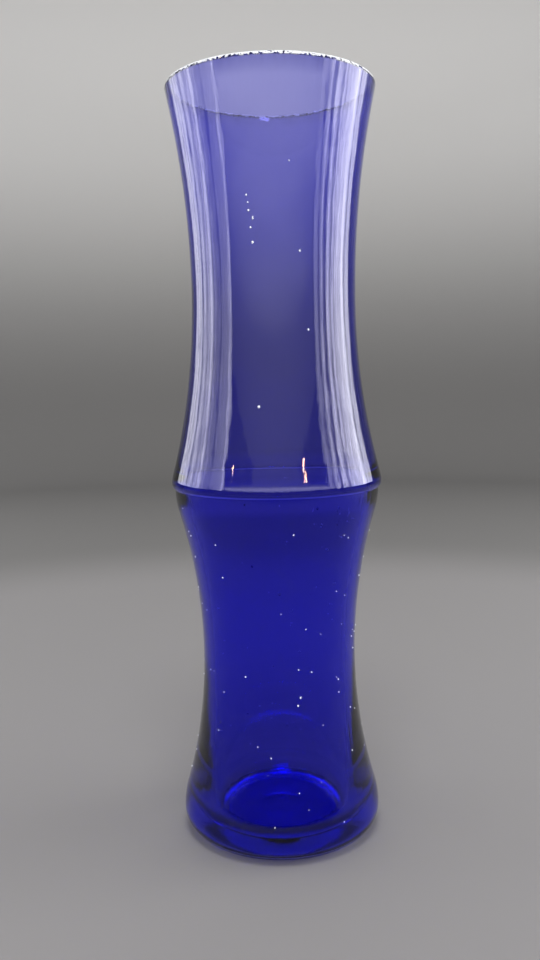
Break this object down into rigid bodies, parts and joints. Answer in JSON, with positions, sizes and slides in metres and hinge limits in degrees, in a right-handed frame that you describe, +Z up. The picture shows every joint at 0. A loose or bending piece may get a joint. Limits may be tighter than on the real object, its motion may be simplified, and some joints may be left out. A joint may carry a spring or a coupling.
{
  "type": "flower vase",
  "caption": "Tall waisted glass flower vase in a bamboo form, with a flared ground lip, an overhanging ring at mid-height and a thick rounded foot.",
  "frame": {"origin": "on the table, at the centre of the foot's flat underside", "axes": "+Z up along the vase's axis, out of its mouth; the vase is round, so +X and +Y are free"},
  "size_m": [0.0796, 0.0796, 0.28],
  "materials": {
    "cobalt_glass": "fire-polished blown glass, clear cobalt blue, with small seed bubbles",
    "ground_lip": "ground and rounded edge of the same glass, a little frosted, with fine chips"
  },
  "bodies": {
    "root": {"lip": "ground_lip", "upper_section": "cobalt_glass", "ring": "cobalt_glass", "lower_section": "cobalt_glass", "foot": "cobalt_glass"}
  },
  "joints": []
}
